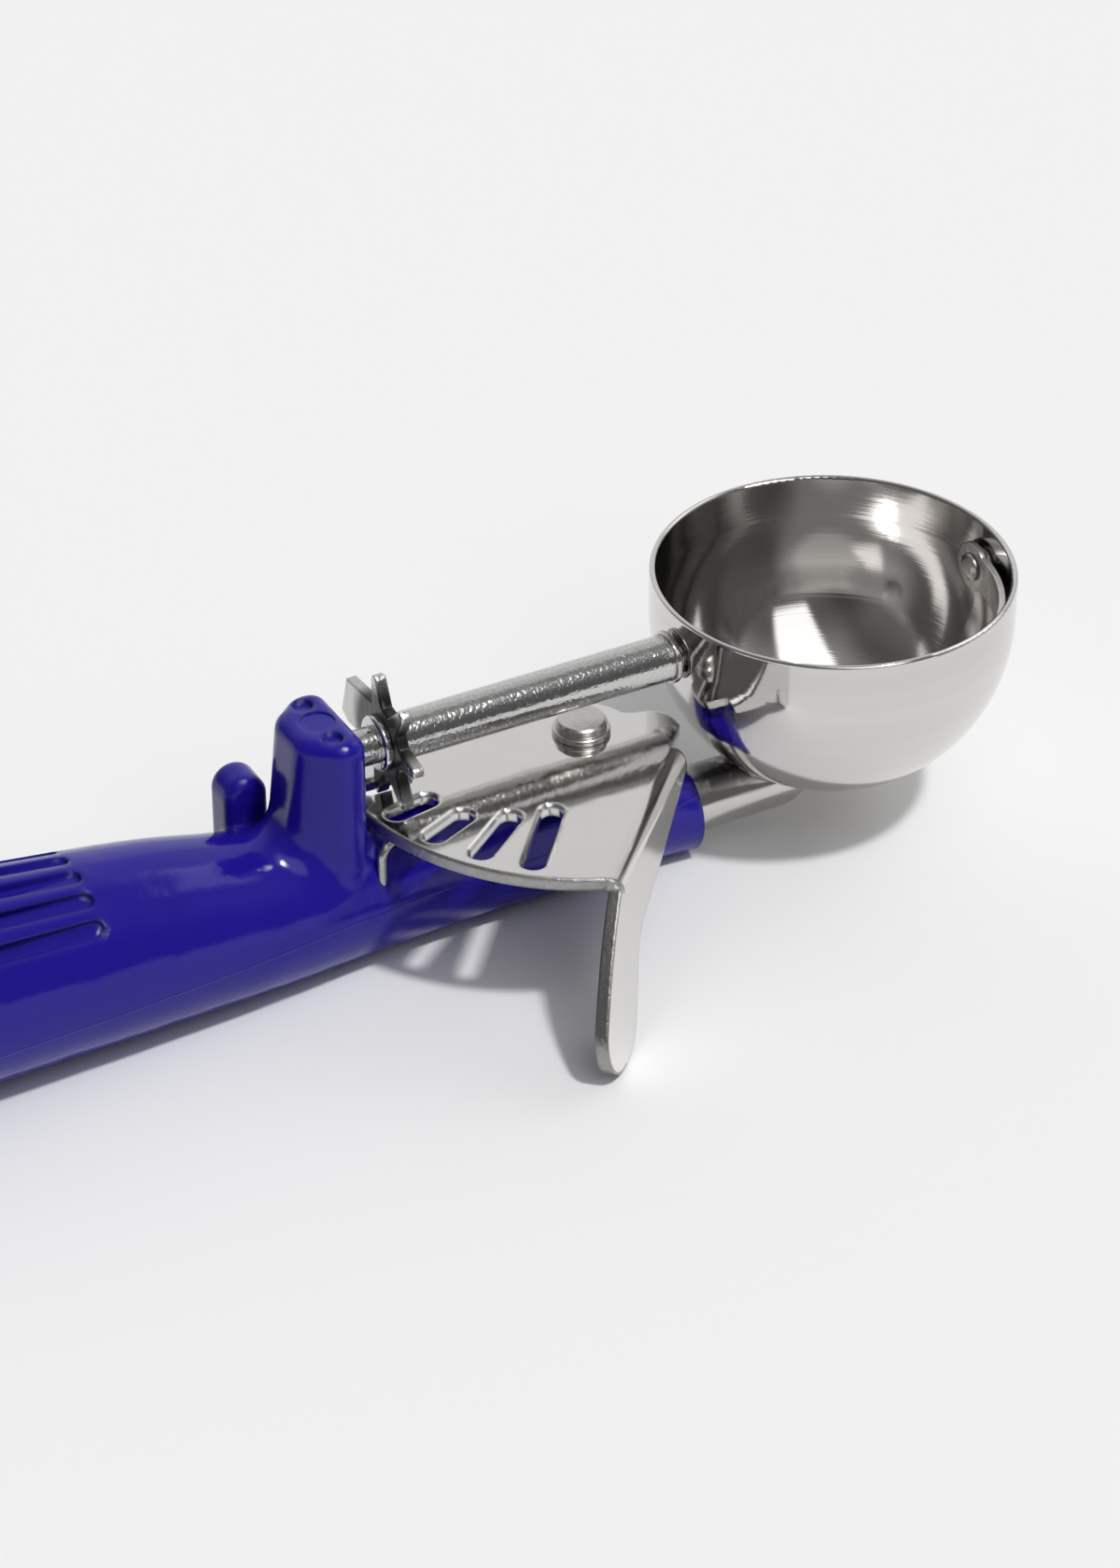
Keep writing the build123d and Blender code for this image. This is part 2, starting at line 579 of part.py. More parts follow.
def past_end(points):
    """Points of the flange, given as distance past the plate's end and drop below the bend line."""
    return [(BEND_END + run, drop) for run, drop in points]


def at_bend(run, out):
    """Point of the plate given along the bend line and out from the rivet toward it."""
    return (run * run_dir[0] + out * out_dir[0], run * run_dir[1] + out * out_dir[1])


arc_mid = (PLATE_ARC_START + PLATE_ARC_END) / 2
bend_in = BEND_DIST - 1.5 * BEND_RADIUS
# the bend itself: an angle section with a rounded corner, cut to the flange's outline
with BuildPart() as bend_piece:
    with BuildSketch(Plane(flange_plane.origin, x_dir=(*out_dir, 0), z_dir=(*run_dir, 0))):
        with BuildLine():
            inner_drop = PLATE_T * (1 - math.cos(tilt)) / math.sin(tilt)
            corner = (-PLATE_T * math.sin(tilt) + inner_drop * math.cos(tilt), -PLATE_T)
            toe = (BEND_FLAP * math.cos(tilt), -BEND_FLAP * math.sin(tilt))
            Polyline(
                (-2.5 * BEND_RADIUS, 0),
                (0, 0),
                toe,
                (toe[0] - PLATE_T * math.sin(tilt), toe[1] - PLATE_T * math.cos(tilt)),
                corner,
                (-2.5 * BEND_RADIUS, -PLATE_T),
                close=True,
            )
        make_face()
        fillet(vertices().sort_by_distance((0, 0))[0], BEND_RADIUS)
        fillet(vertices().sort_by_distance(corner)[0], BEND_RADIUS - PLATE_T)
    extrude(amount=BEND_END)
    with BuildSketch(flange_plane):
        Polygon((0, -FLANGE_TOP), (BEND_END, -FLANGE_TOP), *past_end(FLANGE_DROPS), (0, FLANGE_START_DROP), align=None)
    extrude(amount=BEND_FLAP, both=True, mode=Mode.INTERSECT)
with BuildPart() as lever:
    with BuildSketch(Plane.XY.offset(PLATE_LOW)):
        with BuildLine():
            ThreePointArc(on_arc(PLATE_R, PLATE_ARC_START), on_arc(PLATE_R, arc_mid), on_arc(PLATE_R, PLATE_ARC_END))
            Polyline(on_arc(PLATE_R, PLATE_ARC_END), at_bend(BEND_END - BEND_NOTCH, bend_in),
                     at_bend(BEND_NOTCH, bend_in), at_bend(0, BEND_REACH), PLATE_NOSE[0])
            ThreePointArc(*PLATE_NOSE)
            Line(PLATE_NOSE[-1], on_arc(PLATE_BOSS_R, 12))
            ThreePointArc(on_arc(PLATE_BOSS_R, 12), on_arc(PLATE_BOSS_R, 50), on_arc(PLATE_BOSS_R, 90))
            Line(on_arc(PLATE_BOSS_R, 90), on_arc(PLATE_R, PLATE_ARC_START))
        make_face()
        for n, slot_run in enumerate(SLOT_RUNS):
            with Locations(Rotation(0, 0, 180 - SLOT_REST + n * SLOT_PITCH)):
                with Locations((SLOT_OUT_R - slot_run / 2, 0)):
                    SlotCenterToCenter(slot_run, SLOT_W, mode=Mode.SUBTRACT)
        Circle(RIVET_R + RUN, mode=Mode.SUBTRACT)
    extrude(amount=PLATE_T)
    # coined top edges of the slots and of the outer arc
    rim_edges = lever.faces().sort_by(Axis.Z)[-1].edges()
    slot_edges = rim_edges.filter_by(
        lambda e: math.hypot((e @ 0.5).X, (e @ 0.5).Y) < SLOT_OUT_R + SLOT_W
        and math.hypot((e @ 0.5).X, (e @ 0.5).Y) > PLATE_BOSS_R + 2
        and (e @ 0.5).X * out_dir[0] + (e @ 0.5).Y * out_dir[1] < bend_in - BEND_NOTCH
        and (e @ 0.5).Y < PLATE_BOSS_R / 2
        and (e @ 0.5).X < 0
    )
    chamfer(slot_edges, SLOT_EDGE)
    arc_edges = lever.faces().sort_by(Axis.Z)[-1].edges().filter_by(
        lambda e: abs(math.hypot((e @ 0.5).X, (e @ 0.5).Y) - PLATE_R) < 0.01
    )
    chamfer(arc_edges, PLATE_EDGE)
    add(bend_piece.part)
    # thumb tab in the plane of the flange, drawn from the bend line downward
    with BuildSketch(flange_plane):
        with BuildLine():
            Polyline(*past_end(TAB_TOP))
            ThreePointArc(*past_end(TAB_EDGE))
            ThreePointArc(*past_end(TAB_TOE))
            ThreePointArc(*past_end(TAB_LOW))
            ThreePointArc(*past_end(TAB_HEEL))
            Line(*past_end([TAB_HEEL[-1], TAB_ROOT[0]]))
            ThreePointArc(*past_end(TAB_ROOT))
            Polyline(*past_end([TAB_ROOT[-1], (TAB_TOP[0][0], TAB_INNER_DROP), TAB_TOP[0]]))
        make_face()
    extrude(amount=-PLATE_T)
lever.part.label = "lever"
export_step(lever.part, "parts/lever.step")

# Lever rivet: turned head, plain shank, tail peened under the tube.
with BuildPart() as lever_rivet:
    head_low = PLATE_TOP + AXIAL + WASHER_T + FIT
    tail_top = SHANK_Z - SHANK_R - FIT
    with BuildSketch(lengthwise()):
        with BuildLine():
            Polyline(
                (0, tail_top - RIVET_TAIL_T),
                (RIVET_TAIL_R, tail_top - RIVET_TAIL_T),
                (RIVET_TAIL_R, tail_top),
                (RIVET_R, tail_top),
                (RIVET_R, head_low),
                (RIVET_HEAD_R, head_low),
                (RIVET_HEAD_R, head_low + RIVET_HEAD_T - 0.4),
                (RIVET_HEAD_R - 0.4, head_low + RIVET_HEAD_T),
                (0, head_low + RIVET_HEAD_T),
                close=True,
            )
        make_face()
    revolve(axis=Axis.Z)
lever_rivet.part.label = "lever_rivet"
export_step(lever_rivet.part, "parts/lever_rivet.step")

# Washer under the rivet head.
with BuildPart() as rivet_washer:
    with BuildSketch(Plane.XY.offset(PLATE_TOP + AXIAL)):
        Circle(WASHER_R)
        Circle(RIVET_R + FIT, mode=Mode.SUBTRACT)
    extrude(amount=WASHER_T)
    fillet(rivet_washer.faces().sort_by(Axis.Z)[-1].edges().sort_by(SortBy.LENGTH)[-1], 0.3)
rivet_washer.part.label = "rivet_washer"
export_step(rivet_washer.part, "parts/rivet_washer.step")

# Washer between the plate and the handle's boss.
with BuildPart() as lower_washer:
    with BuildSketch(Plane.XY.offset(BOSS_TOP + FIT)):
        Circle(LOWER_WASHER_R)
        Circle(RIVET_R + FIT, mode=Mode.SUBTRACT)
    extrude(amount=LOWER_WASHER_T)
lower_washer.part.label = "lower_washer"
export_step(lower_washer.part, "parts/lower_washer.step")


# Return spring: one length of wire. The coil is made of arcs, two to each piece of turn.
def coil_point(degrees):
    """Point of the coil's centre line at an angle about the rivet, falling as the angle falls."""
    drop = COIL_PITCH * (coil_start - degrees) / 360
    return Vector(*on_arc(COIL_R, degrees), COIL_TOP - drop)


def coil_way(degrees, level):
    """Direction of the wire there, running clockwise; level at the ends where the legs join."""
    fall = 0 if level else COIL_PITCH / 360
    turn = math.radians(degrees)
    return Vector(math.sin(turn) * COIL_R, -math.cos(turn) * COIL_R, -fall * 180 / math.pi).normalized()


def arc_pair(p, way_p, q, way_q):
    """Middle point of the two tangent arcs that join p to q with the given directions."""
    span = q - p
    both = way_p + way_q
    lead = span.dot(both)
    spread = 2 * (1 - way_p.dot(way_q))
    reach = (-lead + math.sqrt(lead * lead + spread * span.dot(span))) / spread
    return (p + way_p * reach + q - way_q * reach) / 2


def bow(p, q, way):
    """Middle of the arc from p to q that sets off in the given direction."""
    chord = q - p
    ahead = chord.normalized()
    aside = way - ahead * way.dot(ahead)
    rise = chord.length / 2 * math.tan(math.acos(min(1, way.dot(ahead))) / 2)
    return (p + q) / 2 + aside.normalized() * rise


steps = round(coil_sweep / 90)
angles = [coil_start - coil_sweep * n / steps for n in range(steps + 1)]
free_way = coil_way(angles[-1], True)
free_start = coil_point(angles[-1])
flange_in = BEND_DIST - PLATE_T / math.sin(tilt) + (PLATE_TOP - coil_low) / math.tan(tilt)
free_room = flange_in - WIRE_R - SPRING_GAP - free_start.X * out_dir[0] - free_start.Y * out_dir[1]
free_length = free_room / (free_way.X * out_dir[0] + free_way.Y * out_dir[1])
with BuildPart() as return_spring:
    with BuildLine() as wire:
        knee = Vector(LEG_X, LEG_Y, COIL_TOP - LEG_BEND)
        way = Vector(leg_way[0], leg_way[1], 0)
        Line((LEG_X, LEG_Y, LEG_FOOT), knee)
        over = knee + way * LEG_BEND + Vector(0, 0, LEG_BEND)
        ThreePointArc(knee, bow(knee, over, Vector(0, 0, 1)), over)
        Line(over, coil_point(angles[0]))
        for n in range(steps):
            p, q = coil_point(angles[n]), coil_point(angles[n + 1])
            way_p = coil_way(angles[n], n == 0)
            way_q = coil_way(angles[n + 1], n == steps - 1)
            m = arc_pair(p, way_p, q, way_q)
            ThreePointArc(p, bow(p, m, way_p), m)
            ThreePointArc(m, bow(q, m, way_q * -1), q)
        Line(free_start, free_start + free_way * free_length)
    with BuildSketch(Plane(origin=(LEG_X, LEG_Y, LEG_FOOT), z_dir=(0, 0, 1))):
        Circle(WIRE_R)
    sweep(path=wire.wires()[0])
return_spring.part.label = "return_spring"
export_step(return_spring.part, "parts/return_spring.step")

# Least gap of the wire to itself, between points more than half a turn apart along the wire.
line = wire.wires()[0]
spots = [line.position_at(k / 700) for k in range(701)]
apart = line.length / 700
least = min(
    (spots[i] - spots[j]).length
    for i in range(0, 701)
    for j in range(i + int(math.pi * COIL_R / apart), 701)
)
print("spring: least gap between turns", round(least - 2 * WIRE_R, 2), "mm")
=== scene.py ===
import math

import bpy
import numpy as np
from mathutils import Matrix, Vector


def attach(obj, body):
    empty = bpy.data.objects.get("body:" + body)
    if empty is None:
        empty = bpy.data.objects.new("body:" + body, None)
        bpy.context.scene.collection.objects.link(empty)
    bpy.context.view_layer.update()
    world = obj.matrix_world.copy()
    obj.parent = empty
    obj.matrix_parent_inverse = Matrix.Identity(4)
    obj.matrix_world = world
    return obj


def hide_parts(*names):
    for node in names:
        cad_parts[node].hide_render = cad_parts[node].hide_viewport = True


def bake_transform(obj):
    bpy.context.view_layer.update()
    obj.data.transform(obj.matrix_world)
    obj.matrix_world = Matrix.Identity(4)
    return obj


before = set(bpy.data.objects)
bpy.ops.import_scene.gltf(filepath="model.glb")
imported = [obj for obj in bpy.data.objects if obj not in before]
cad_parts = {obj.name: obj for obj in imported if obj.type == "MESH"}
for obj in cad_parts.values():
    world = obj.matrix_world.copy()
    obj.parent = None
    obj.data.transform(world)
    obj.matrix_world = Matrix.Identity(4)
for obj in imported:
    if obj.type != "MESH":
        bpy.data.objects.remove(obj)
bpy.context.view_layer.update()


# Handle: one moulding in royal blue plastic over the shank tube, polished in the tool, with the bearing
# post, the lug behind it and the grip grooves. Its two mould halves meet in a fine line along the sides.
class Field:
    """A number or vector running through a material's nodes; arithmetic on it adds Math nodes."""

    def __init__(self, tree, socket):
        self.tree = tree
        self.socket = socket

    def node(self, kind, settings=None, inputs=None, out=0):
        """Adds a node of a kind, with its settings and the values or links of its sockets."""
        made = self.tree.nodes.new(kind)
        for key, value in (settings or {}).items():
            setattr(made, key, value)
        for key, value in (inputs or {}).items():
            if isinstance(value, Field):
                self.tree.links.new(value.socket, made.inputs[key])
            else:
                made.inputs[key].default_value = value
        return Field(self.tree, made.outputs[out])

    def math(self, operation, *others):
        """Adds a Math node on this value and the others."""
        return self.node("ShaderNodeMath", {"operation": operation}, dict(enumerate((self,) + others)))

    def __add__(self, other):
        return self.math("ADD", other)

    def __sub__(self, other):
        return self.math("SUBTRACT", other)

    def __mul__(self, other):
        return self.math("MULTIPLY", other)

    def __rsub__(self, other):
        return self.math("MULTIPLY", -1.0).math("ADD", other)

    def __neg__(self):
        return 0 - self

    def __abs__(self):
        return self.math("ABSOLUTE")

    __radd__ = __add__
    __rmul__ = __mul__

    def across(self, other):
        """Distance made by two values at a right angle: the root of the sum of their squares."""
        return (self * self + other * other).math("SQRT")

    def part(self, axis):
        """One component of a vector."""
        return self.node("ShaderNodeSeparateXYZ", None, {0: self}, out="XYZ".index(axis))

    def parts(self):
        """The three components of a vector."""
        return self.part("X"), self.part("Y"), self.part("Z")

    def toward(self, direction):
        """How far a vector reaches in a direction."""
        return self.node("ShaderNodeVectorMath", {"operation": "DOT_PRODUCT"}, {0: self, 1: direction}, out=1)

    def grain(self, scale, detail=3.0, rough=0.55, stretch=(1, 1, 1)):
        """Noise over the surface, scale in waves per metre, drawn out by stretch."""
        place = self.node("ShaderNodeMapping", None, {0: self, 3: stretch})
        return self.node("ShaderNodeTexNoise", None,
                         {"Vector": place, "Scale": scale, "Detail": detail, "Roughness": rough})

    def rings(self, scale, detail, rough):
        """Noise that changes with this value alone, scale in waves per metre."""
        return self.node("ShaderNodeTexNoise", {"noise_dimensions": "1D"},
                         {"W": self, "Scale": scale, "Detail": detail, "Roughness": rough})

    def band(self, low, high, first=0.0, last=1.0):
        """Runs smoothly from first to last as the value goes from low to high, and stays there."""
        return self.node("ShaderNodeMapRange", {"interpolation_type": "SMOOTHSTEP"},
                         {0: self, 1: low, 2: high, 3: first, 4: last})

    def span(self, start, full, fade, end):
        """Rises from 0 to 1 between start and full and falls back between fade and end."""
        return self.band(start, full) * (1 - self.band(fade, end))

    def blend(self, first, second):
        """A colour between two, by this value."""
        return self.node("ShaderNodeMix", {"data_type": "RGBA"},
                         {0: self, 6: (*first, 1), 7: (*second, 1)}, out=2)


def finish(name, colour, **sockets):
    """A material with its constant sockets set, its shader node and its Object coordinates."""
    made = bpy.data.materials.new(name)
    made.use_nodes = True
    tree = made.node_tree
    shader = tree.nodes["Principled BSDF"]
    shader.inputs["Base Color"].default_value = (*colour, 1)
    for key, value in sockets.items():
        shader.inputs[key.replace("_", " ")].default_value = value
    coords = tree.nodes.new("ShaderNodeTexCoord")
    return made, shader, Field(tree, coords.outputs["Object"])


def feed(shader, relief, edge, **fields):
    """Links varying fields to the shader's sockets. Relief, a height and its depth in metres, goes
    through one Bump node, on top of edges rounded by a radius."""
    for key, field in fields.items():
        field.tree.links.new(field.socket, shader.inputs[key.replace("_", " ")])
    height, depth = relief
    rounded = height.node("ShaderNodeBevel", {"samples": 6}, {"Radius": edge})
    bump = height.node("ShaderNodeBump", None, {"Height": height, "Distance": depth, "Normal": rounded})
    bump.tree.links.new(bump.socket, shader.inputs["Normal"])


def dress(material, *names):
    """Gives CAD nodes a material."""
    for name in names:
        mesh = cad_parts[name].data
        mesh.materials.clear()
        mesh.materials.append(material)


PARTING_Z, PARTING_HALF = 0.0124, (0.00005, 0.00022)
HANDLE_DEPTH, HANDLE_EDGE = 0.0004, 0.0015
BLUE, BLUE_DEEP, BLUE_LIGHT = (0.012, 0.006, 0.24), (0.010, 0.005, 0.21), (0.016, 0.008, 0.29)
plastic, shader, at = finish("royal_blue_plastic", BLUE, Specular_IOR_Level=0.32, IOR=1.5)
cloud = at.grain(45, 2)
orange_peel = at.grain(420, 2)
dust = at.grain(2600, 3)
parting = 1 - abs(at.part("Z") - PARTING_Z).band(*PARTING_HALF)
scuff = at.grain(160, 4, 0.6, stretch=(0.25, 1, 1)).band(0.62, 0.75)
feed(shader,
     Base_Color=cloud.blend(BLUE_DEEP, BLUE_LIGHT),
     Roughness=0.07 + 0.05 * cloud + 0.10 * scuff,
     relief=(cloud * 0.45 + orange_peel * 0.08 + dust * 0.010 + parting * 0.22, HANDLE_DEPTH),
     edge=HANDLE_EDGE)
dress(plastic, "handle")

# Shank tube: drawn stainless tube, moulded into the handle, saddled to the bowl and welded there. Its
# skin keeps fine marks along its length and goes dull and grey toward the weld.
SHANK_R, SHANK_Z = 0.00525, 0.0075
HEAT_X, HEAT_Z = (0.0165, 0.0215), (0.0100, 0.0118)
TUBE_DEPTH, STEEL_EDGE = 0.00012, 0.0003
TUBE_BRIGHT, TUBE_BURNT = (0.63, 0.62, 0.60), (0.12, 0.115, 0.11)
steel, shader, at = finish("drawn_steel", (0.60, 0.59, 0.57), Metallic=1.0)
drawn_marks = at.grain(500, 3, 0.6, stretch=(0.06, 1, 1))
heat = at.part("X").band(*HEAT_X) * at.part("Z").band(*HEAT_Z) * at.grain(300, 4).band(0.28, 0.50)
feed(shader,
     Base_Color=heat.blend(TUBE_BRIGHT, TUBE_BURNT),
     Roughness=0.12 + 0.10 * drawn_marks + 0.22 * heat,
     relief=(drawn_marks * 0.5 + heat * at.grain(900, 4) * 0.8, TUBE_DEPTH),
     edge=STEEL_EDGE)
dress(steel, "shank_tube")

# Bowl: spun from stainless sheet over a form, its rim rounded, and welded on the tube. It is buffed on
# the lathe, so the polish runs in rings about its axis, and the inside keeps faint waves from the roller.
BOWL_X, BOWL_Z, BOWL_R = 0.0444, 0.0354, 0.0285
INNER_WALL = (BOWL_R - 0.0008, BOWL_R - 0.0004)
CHATTER_TURN, CHATTER_RISE, CHATTER_Z = 11, 210, (0.012, 0.030)
SCORCH_R, SCORCH_X = (SHANK_R + 0.0006, SHANK_R + 0.0030), (0.030, 0.036)
BOWL_DEPTH = 0.00010
BOWL_BRIGHT, BOWL_GREY = (0.71, 0.692, 0.675), (0.57, 0.553, 0.537)
bowl_steel, shader, at = finish("spun_steel", (0.68, 0.67, 0.65), Metallic=1.0)
x, y, z = at.parts()
off_x = x - BOWL_X
ring_r = off_x.across(y)
down_wall = ring_r + z * 0.6
polish = down_wall.rings(2600, 3, 0.6)
broad = down_wall.rings(260, 2, 0.5)
dent = at.grain(55, 2)
phase = y.math("ARCTAN2", off_x) * CHATTER_TURN + z * CHATTER_RISE + dent * 5
chatter = phase.math("SINE") * z.band(*CHATTER_Z)
below_rim = (z - BOWL_Z).math("MINIMUM", 0.0)
inside = 1 - ring_r.across(below_rim).band(*INNER_WALL)
scorch = 1 - y.across(z - SHANK_Z).band(*SCORCH_R)
scorch = scorch * (1 - x.band(*SCORCH_X)) * (1 - inside) * at.grain(420, 4).band(0.25, 0.60)
waves = polish * (0.05 + 0.03 * inside) + broad * 0.06 + dent * 0.8 + chatter * (0.05 + 0.09 * inside)
feed(shader,
     Base_Color=(broad * 0.5 + scorch * 2).blend(BOWL_BRIGHT, BOWL_GREY),
     Roughness=0.02 + 0.05 * polish + 0.03 * broad + 0.03 * inside + 0.20 * scorch,
     relief=(waves, BOWL_DEPTH),
     edge=STEEL_EDGE)
dress(bowl_steel, "bowl")

# Blade shaft: ground stainless bar that turns in the handle's post and in the bowl wall, with a collar
# and a ferrule pressed on it. All three are tumbled, which leaves their skin lightly pebbled.
SHAFT_DEPTH = 0.00018
SHAFT_GREY, SHAFT_BRIGHT = (0.48, 0.475, 0.47), (0.72, 0.715, 0.705)
shaft_steel, shader, at = finish("tumbled_steel", (0.62, 0.61, 0.59), Metallic=1.0)
pebble = at.grain(1900, 2, 0.5)
bar_wave = at.grain(190, 2)
feed(shader,
     Base_Color=pebble.blend(SHAFT_GREY, SHAFT_BRIGHT),
     Roughness=0.05 + 0.08 * pebble,
     relief=(pebble * 0.34 + bar_wave * 0.12, SHAFT_DEPTH),
     edge=STEEL_EDGE)
dress(shaft_steel, "blade_shaft", "pinion_collar", "shaft_ferrule")

# Pinion: stamped from sheet and pressed on the shaft. The faces keep the rolling grain; the teeth are
# bright from wear by the slots, and toward the shaft the roots are darkened with painted shade.
SHAFT_Z = BOWL_Z
ROOT_SHADE_TO_TIP_R = (0.0070, 0.0102)
PINION_DEPTH, PINION_EDGE = 0.00015, 0.0006
ROOT_PAINTED_SHADE, TOOTH_TIP_WEAR = (0.06, 0.058, 0.056), (0.74, 0.73, 0.71)
stamped, shader, at = finish("stamped_steel", (0.58, 0.57, 0.55), Metallic=1.0)
rolled = at.grain(700, 3, 0.6, stretch=(1, 1, 0.12))
pits = at.grain(900, 3)
# Darker toward the shaft: painted shade in the tooth roots; lighter at the tips from wear.
tip_wear_root_shade = at.part("Y").across(at.part("Z") - SHAFT_Z).band(*ROOT_SHADE_TO_TIP_R)
feed(shader,
     Base_Color=(tip_wear_root_shade * (0.45 + 0.55 * rolled)).blend(ROOT_PAINTED_SHADE, TOOTH_TIP_WEAR),
     Roughness=0.26 - 0.12 * tip_wear_root_shade + 0.10 * rolled,
     relief=(rolled * 0.4 + pits * 0.5, PINION_DEPTH),
     edge=PINION_EDGE)
dress(stamped, "pinion")

# Scraper blade: a half ring of spring strip with a satin skin, staked on the shaft at one end. Its other
# eye turns on a rivet through the bowl's front wall, with a washer between.
STRIP_DEPTH = 0.0001
STRIP_GREY, STRIP_BRIGHT = (0.58, 0.57, 0.55), (0.74, 0.73, 0.71)
strip, shader, at = finish("satin_strip", (0.66, 0.65, 0.63), Metallic=1.0)
satin = at.grain(900, 3, 0.6, stretch=(1, 1, 0.15))
feed(shader,
     Base_Color=satin.blend(STRIP_GREY, STRIP_BRIGHT),
     Roughness=0.18 + 0.14 * satin,
     relief=(satin * 0.5, STRIP_DEPTH),
     edge=STEEL_EDGE)
dress(strip, "scraper_blade", "front_pivot_rivet", "front_pivot_washer")

# Lever: stamped from thick sheet, bent down into the thumb tab and polished. The faces lie flat with
# faint rolling waves; the sheared edges of the arc and of the tab stay dull and torn.
PLATE_R, PLATE_TOP, PLATE_Z = 0.0390, 0.0265, (0.0236, 0.0240)
BEND_OUT, BEND_END = 0.0163, 0.0362
TAB_LEAN, TAB_FALL = 0.1070, 0.9885
TAB_DOWN = (TAB_LEAN, -TAB_LEAN, -TAB_FALL)
TAB_START = TAB_LEAN * BEND_OUT * math.sqrt(2) - TAB_FALL * PLATE_TOP
TAB_RIM = (((-0.0002, 0.0016), (0.0076, 0.0084), (0.0142, 0.0162)),
           ((0.0142, 0.0162), (0.0158, 0.0198), (0.0152, 0.0230)),
           ((0.0152, 0.0230), (0.0132, 0.0252), (0.0096, 0.0262)))
SHEAR_HALF, RIM_FADE = (0.00030, 0.00045), 0.0004
LEVER_DEPTH, LEVER_EDGE = 0.00012, 0.0007
PLATE_BRIGHT, SHEAR_GREY = (0.74, 0.73, 0.715), (0.26, 0.255, 0.25)


def circle_through(a, b, c):
    """Centre and radius of the circle through three points: the centre lies as far from each of them,
    which is two linear equations."""
    rows = 2 * (np.array([b, c]) - np.array(a))
    middle = np.linalg.solve(rows, (np.array([b, c])**2).sum(axis=1) - (np.array(a)**2).sum())
    return float(middle[0]), float(middle[1]), float(np.hypot(*(np.array(a) - middle)))


lever_steel, shader, at = finish("polished_plate", (0.70, 0.69, 0.67), Metallic=1.0)
x, y, z = at.parts()
sheet_wave = at.grain(60, 2)
buff = at.grain(800, 3, 0.6, stretch=(0.2, 0.2, 1))
handling = at.grain(120, 3, 0.6).band(0.55, 0.72)
sheared = (1 - abs(x.across(y) - PLATE_R).band(*SHEAR_HALF)) * z.band(*PLATE_Z)
run = (x + y) * -math.sqrt(0.5) - BEND_END
drop = at.toward(TAB_DOWN) - TAB_START
for points in TAB_RIM:
    middle_run, middle_drop, radius = circle_through(*points)
    off_rim = (run - middle_run).across(drop - middle_drop) - radius
    (least_run, least_drop), (most_run, most_drop) = np.min(points, axis=0), np.max(points, axis=0)
    near = drop.span(least_drop - RIM_FADE, least_drop, most_drop, most_drop + RIM_FADE)
    near = near * run.span(least_run - RIM_FADE, least_run, most_run, most_run + RIM_FADE)
    sheared = sheared.math("MAXIMUM", (1 - abs(off_rim).band(*SHEAR_HALF)) * near)
torn = at.grain(1500, 4, 0.65)
feed(shader,
     Base_Color=(sheared * (0.5 + 0.5 * torn)).blend(PLATE_BRIGHT, SHEAR_GREY),
     Roughness=0.05 + 0.06 * buff + 0.05 * handling + 0.22 * sheared,
     relief=(sheet_wave * 1.2 + buff * 0.08 + sheared * torn * 1.2, LEVER_DEPTH),
     edge=LEVER_EDGE)
dress(lever_steel, "lever")

# Lever rivet: turned stainless, put through the lever, the handle and the tube and peened below, with a
# turned washer above the plate and one under it. The lathe leaves fine rings about the axis.
RIVET_DEPTH = 0.00006
RIVET_GREY, RIVET_BRIGHT = (0.52, 0.51, 0.48), (0.70, 0.69, 0.66)
turned, shader, at = finish("turned_steel", (0.62, 0.61, 0.58), Metallic=1.0)
x, y, z = at.parts()
lathe = (x.across(y) + z * 0.7).rings(3200, 2, 0.5)
feed(shader,
     Base_Color=lathe.blend(RIVET_GREY, RIVET_BRIGHT),
     Roughness=0.20 + 0.12 * lathe,
     relief=(lathe, RIVET_DEPTH),
     edge=STEEL_EDGE)
dress(turned, "lever_rivet", "rivet_washer", "lower_washer")

# Return spring: one length of drawn spring wire, greyer than the rest, wound round the lever rivet. One
# leg is bent down into a hole of the handle and the other pushes on the lever's flange, so the coil
# winds up as the lever turns.
WIRE_R, WIRE_SIDES = 0.00075, 16
WIRE_DEPTH, WIRE_EDGE = 0.00005, 0.0002
WIRE_GREY, WIRE_BRIGHT = (0.38, 0.37, 0.36), (0.54, 0.53, 0.52)
COIL_R, COIL_PITCH, COIL_TOP = 0.0052, 0.00204, 0.0229
LEG_RADIUS, LEG_TURN, LEG_FOOT, LEG_BEND = 0.039546, math.radians(192.56), 0.0140, 0.0022
FREE_TURN, FREE_LEG = math.radians(-20), 0.02318
COIL_START = LEG_TURN - math.acos(COIL_R / LEG_RADIUS)
COIL_END = FREE_TURN - 4 * math.pi
UP = np.array([0.0, 0.0, 1.0])


def round_bar(line, side, radius, sides):
    """Bar along a line of points: round each point a ring of the radius there, spanned by the sideways
    direction and the one square to it and to the line. Side and radius are one for each point or one
    for all."""
    run = np.gradient(line, axis=0)
    run /= np.linalg.norm(run, axis=1, keepdims=True)
    side = side - run * (side * run).sum(axis=1, keepdims=True)
    side /= np.linalg.norm(side, axis=1, keepdims=True)
    angle = np.linspace(0, 2 * math.pi, sides, endpoint=False)[None, :, None]
    rings = np.cos(angle) * side[:, None, :] + np.sin(angle) * np.cross(run, side)[:, None, :]
    return line[:, None, :] + np.reshape(radius, (-1, 1, 1)) * rings


def closed_bar(name, rings):
    """Object whose skin joins each ring to the next, with a flat face at either end."""
    count, sides = rings.shape[:2]
    i, j = np.meshgrid(np.arange(count - 1), np.arange(sides), indexing="ij")
    here, beside = i * sides + j, i * sides + (j + 1) % sides
    quads = np.stack([here, beside, beside + sides, here + sides], axis=-1).reshape(-1, 4)
    ends = [np.arange(sides)[::-1].tolist(), ((count - 1) * sides + np.arange(sides)).tolist()]
    mesh = bpy.data.meshes.new(name)
    mesh.from_pydata(rings.reshape(-1, 3).tolist(), [], quads.tolist() + ends)
    mesh.polygons.foreach_set("use_smooth", np.arange(len(mesh.polygons)) < len(quads))
    mesh.validate()
    made = bpy.data.objects.new(name, mesh)
    bpy.context.collection.objects.link(made)
    return made


